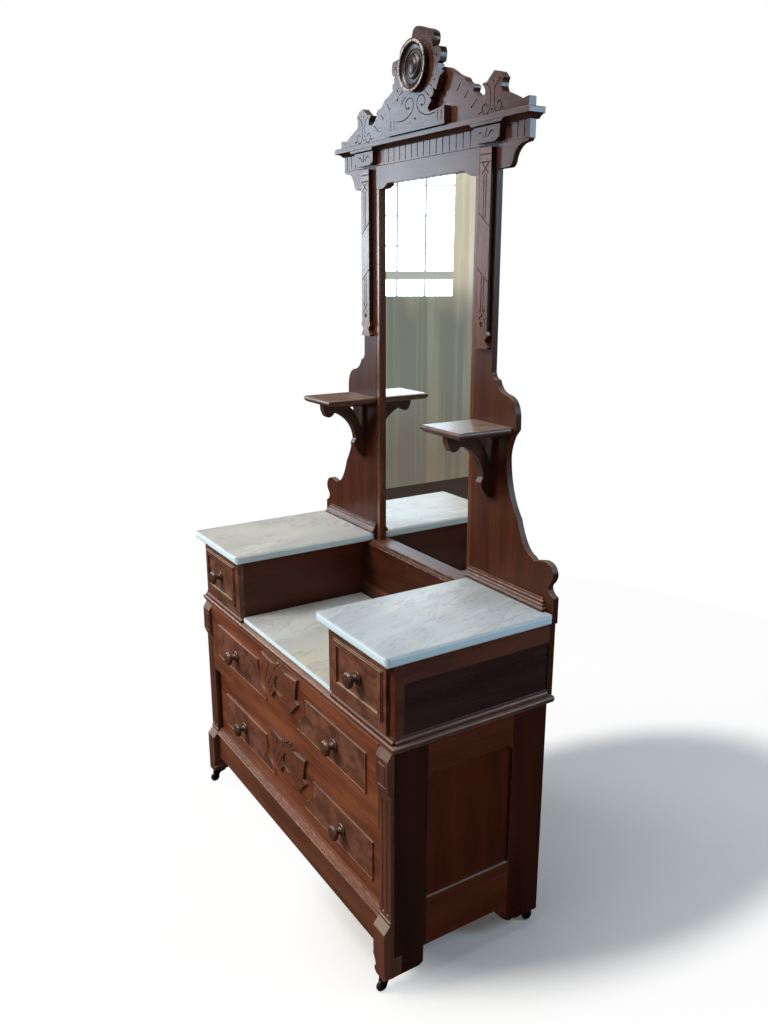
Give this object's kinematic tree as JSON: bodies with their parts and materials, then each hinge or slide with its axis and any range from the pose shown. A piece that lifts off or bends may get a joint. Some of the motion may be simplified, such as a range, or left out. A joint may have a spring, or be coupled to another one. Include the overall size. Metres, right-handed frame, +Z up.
{
  "type": "washstand with marble top and mirror",
  "caption": "Walnut drop-centre washstand with marble slabs, long and small drawers, casters, and a tall framed mirror with side shelves, wings and a carved crest.",
  "frame": {"origin": "centre of the bounding box in X and Y, on the floor under the casters", "axes": "+X to the right of someone facing the drawers, +Y towards the back, +Z up"},
  "size_m": [1.067, 0.486, 2.1186],
  "materials": {
    "walnut": "satin",
    "burl": "satin",
    "inner_wood": "matte",
    "marble": "polished",
    "mirror": "polished",
    "iron": "satin",
    "wheel": "satin"
  },
  "bodies": {
    "stand": {"case_side_left": "walnut", "case_side_right": "walnut", "side_panels": "walnut", "case_back": "inner_wood", "dust_boards": "inner_wood", "top_blocks": "walnut", "fluted_pilasters": "walnut", "front_feet": "walnut", "apron": "walnut", "base_moulding": "walnut", "ledge_moulding": "walnut", "well_marble": "marble", "marble_left": "marble", "marble_right": "marble", "glove_box_left": "walnut", "glove_box_right": "walnut", "well_back": "walnut", "well_bead": "walnut", "mirror_sill": "walnut", "wing_left": "walnut", "wing_right": "walnut", "wing_mouldings": "walnut", "mirror_glass": "mirror", "mirror_backboard": "inner_wood", "mirror_slips": "walnut", "top_rail": "walnut", "mirror_pilasters": "walnut", "shelf_left": "walnut", "shelf_right": "walnut", "shelf_brackets": "walnut", "frieze": "walnut", "corner_blocks": "walnut", "end_brackets": "walnut", "cornice": "walnut", "crest_board": "walnut", "crest_applique": "walnut", "roundel": "walnut", "crown": "walnut", "caster_plates": "iron"},
    "upper_drawer": {"upper_drawer_front": "burl", "upper_drawer_box": "inner_wood", "upper_ornament": "burl", "upper_knobs": "burl"},
    "lower_drawer": {"lower_drawer_front": "burl", "lower_drawer_box": "inner_wood", "lower_ornament": "burl", "lower_knobs": "burl"},
    "left_small_drawer": {"left_small_drawer": "burl", "left_small_knob": "burl"},
    "right_small_drawer": {"right_small_drawer": "burl", "right_small_knob": "burl"},
    "fork_front_left": {"caster_fork_front_left": "iron"},
    "wheel_front_left": {"caster_wheel_front_left": "wheel"},
    "fork_front_right": {"caster_fork_front_right": "iron"},
    "wheel_front_right": {"caster_wheel_front_right": "wheel"},
    "fork_rear_left": {"caster_fork_rear_left": "iron"},
    "wheel_rear_left": {"caster_wheel_rear_left": "wheel"},
    "fork_rear_right": {"caster_fork_rear_right": "iron"},
    "wheel_rear_right": {"caster_wheel_rear_right": "wheel"}
  },
  "joints": [
    {"name": "upper_drawer_slide", "type": "slide", "parent": "stand", "child": "upper_drawer", "axis": [0, -1, 0], "range_m": [0, 0.3]},
    {"name": "lower_drawer_slide", "type": "slide", "parent": "stand", "child": "lower_drawer", "axis": [0, -1, 0], "range_m": [0, 0.3]},
    {"name": "left_small_drawer_slide", "type": "slide", "parent": "stand", "child": "left_small_drawer", "axis": [0, -1, 0], "range_m": [0, 0.26]},
    {"name": "right_small_drawer_slide", "type": "slide", "parent": "stand", "child": "right_small_drawer", "axis": [0, -1, 0], "range_m": [0, 0.26]},
    {"name": "front_left_swivel", "type": "hinge", "parent": "stand", "child": "fork_front_left", "pos_m": [-0.5, -0.199, 0.039], "axis": [0, 0, 1], "continuous": true},
    {"name": "front_left_roll", "type": "hinge", "parent": "fork_front_left", "child": "wheel_front_left", "pos_m": [-0.5, -0.216, 0.0135], "axis": [1, 0, 0], "continuous": true},
    {"name": "front_right_swivel", "type": "hinge", "parent": "stand", "child": "fork_front_right", "pos_m": [0.5, -0.199, 0.039], "axis": [0, 0, 1], "continuous": true},
    {"name": "front_right_roll", "type": "hinge", "parent": "fork_front_right", "child": "wheel_front_right", "pos_m": [0.5, -0.216, 0.0135], "axis": [1, 0, 0], "continuous": true},
    {"name": "rear_left_swivel", "type": "hinge", "parent": "stand", "child": "fork_rear_left", "pos_m": [-0.5, 0.193, 0.039], "axis": [0, 0, 1], "continuous": true},
    {"name": "rear_left_roll", "type": "hinge", "parent": "fork_rear_left", "child": "wheel_rear_left", "pos_m": [-0.5, 0.21, 0.0135], "axis": [1, 0, 0], "continuous": true},
    {"name": "rear_right_swivel", "type": "hinge", "parent": "stand", "child": "fork_rear_right", "pos_m": [0.5, 0.193, 0.039], "axis": [0, 0, 1], "continuous": true},
    {"name": "rear_right_roll", "type": "hinge", "parent": "fork_rear_right", "child": "wheel_rear_right", "pos_m": [0.5, 0.21, 0.0135], "axis": [1, 0, 0], "continuous": true}
  ]
}
